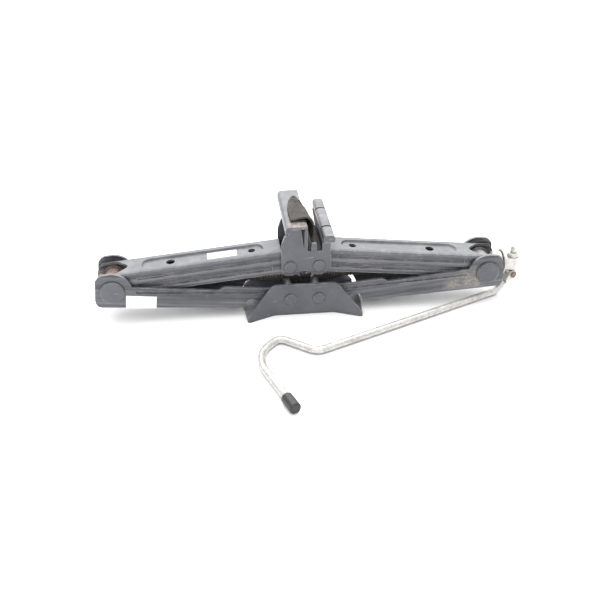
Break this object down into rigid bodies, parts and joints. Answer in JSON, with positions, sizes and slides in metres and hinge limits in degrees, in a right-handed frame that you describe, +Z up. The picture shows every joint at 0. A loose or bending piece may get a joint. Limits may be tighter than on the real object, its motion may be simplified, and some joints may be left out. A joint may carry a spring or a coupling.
{
  "type": "scissor car jack",
  "caption": "Scissor car jack, folded down: four pressed channel arms, base foot, slotted sill saddle, lead screw and a folding cranked handle.",
  "frame": {"origin": "underside of the base plate, midway between the two base pins", "axes": "+X along the jack towards the handle end, +Y away from the side that the folded handle lies on, +Z up"},
  "size_m": [0.4411, 0.2496, 0.1013],
  "materials": {
    "black_paint": "satin black paint, dusty and scratched",
    "rusty_steel": "brown surface rust",
    "bare_steel": "bare steel, dull, lightly rusted",
    "rubber": "torn, dirty rubber",
    "black_plastic": "matt black",
    "label_paper": "blank white label"
  },
  "bodies": {
    "base": {"base_plate": "black_paint", "base_pin_left": "black_paint", "base_pin_right": "black_paint"},
    "lower_arm_left": {"lower_arm_left": "black_paint", "label_lower": "label_paper"},
    "lower_arm_right": {"lower_arm_right": "black_paint"},
    "upper_arm_left": {"upper_arm_left": "black_paint"},
    "upper_arm_right": {"upper_arm_right": "black_paint"},
    "trunnion_left": {"trunnion_left": "rusty_steel", "washer_left_front": "rusty_steel", "washer_left_rear": "rusty_steel"},
    "trunnion_right": {"trunnion_right": "bare_steel", "washer_right_front": "bare_steel", "washer_right_rear": "bare_steel", "thrust_bearing": "bare_steel"},
    "head": {"head_bracket": "black_paint", "saddle_pad": "black_paint", "saddle_ridge": "black_paint", "slot_tab": "black_paint", "rubber_sheet": "rubber", "head_pin_left": "black_paint", "head_pin_right": "black_paint"},
    "screw": {"lead_screw": "bare_steel", "screw_eye": "bare_steel", "screw_end_nut": "rusty_steel", "thrust_disc": "bare_steel"},
    "swivel": {"kingpin": "bare_steel", "kingpin_collar": "bare_steel", "droop_pin": "rusty_steel"},
    "crank": {"crank_rod": "bare_steel", "crank_fork": "bare_steel", "crank_cap": "black_plastic"}
  },
  "joints": [
    {"name": "lift", "type": "hinge", "parent": "base", "child": "lower_arm_left", "pos_m": [-0.0145, 0, 0.0185], "axis": [0, 1, 0], "range_deg": [0, 43]},
    {"name": "lower_right_swing", "type": "hinge", "parent": "base", "child": "lower_arm_right", "pos_m": [0.0145, 0, 0.0185], "axis": [0, -1, 0], "range_deg": [0, 43]},
    {"name": "upper_left_swing", "type": "hinge", "parent": "lower_arm_left", "child": "upper_arm_left", "pos_m": [-0.19159, 0, 0.03649], "axis": [0, -1, 0], "range_deg": [0, 86]},
    {"name": "upper_right_swing", "type": "hinge", "parent": "lower_arm_right", "child": "upper_arm_right", "pos_m": [0.19159, 0, 0.03649], "axis": [0, 1, 0], "range_deg": [0, 86]},
    {"name": "trunnion_left_turn", "type": "hinge", "parent": "lower_arm_left", "child": "trunnion_left", "pos_m": [-0.19159, 0, 0.03649], "axis": [0, -1, 0], "range_deg": [0, 43]},
    {"name": "trunnion_right_turn", "type": "hinge", "parent": "lower_arm_right", "child": "trunnion_right", "pos_m": [0.19159, 0, 0.03649], "axis": [0, 1, 0], "range_deg": [0, 43]},
    {"name": "head_level", "type": "hinge", "parent": "upper_arm_left", "child": "head", "pos_m": [-0.0145, 0, 0.05448], "axis": [0, 1, 0], "range_deg": [0, 43]},
    {"name": "screw_spin", "type": "hinge", "parent": "trunnion_right", "child": "screw", "pos_m": [0.19159, 0, 0.03649], "axis": [1, 0, 0], "continuous": true},
    {"name": "crank_fold", "type": "hinge", "parent": "screw", "child": "swivel", "pos_m": [0.225, 0, 0.03649], "axis": [0, 0, 1], "range_deg": [0, 150]},
    {"name": "crank_droop", "type": "hinge", "parent": "swivel", "child": "crank", "pos_m": [0.225, 0, 0.022], "axis": [0.3971, -0.9178, 0], "range_deg": [0, 21.5]}
  ],
  "couplings": [
    {"joint": "lower_right_swing", "follows": "lift", "ratio": 1},
    {"joint": "upper_left_swing", "follows": "lift", "ratio": 2},
    {"joint": "upper_right_swing", "follows": "lift", "ratio": 2},
    {"joint": "trunnion_left_turn", "follows": "lift", "ratio": 1},
    {"joint": "trunnion_right_turn", "follows": "lift", "ratio": 1},
    {"joint": "head_level", "follows": "lift", "ratio": 1},
    {"joint": "crank_droop", "follows": "lift", "ratio": 0.5}
  ]
}
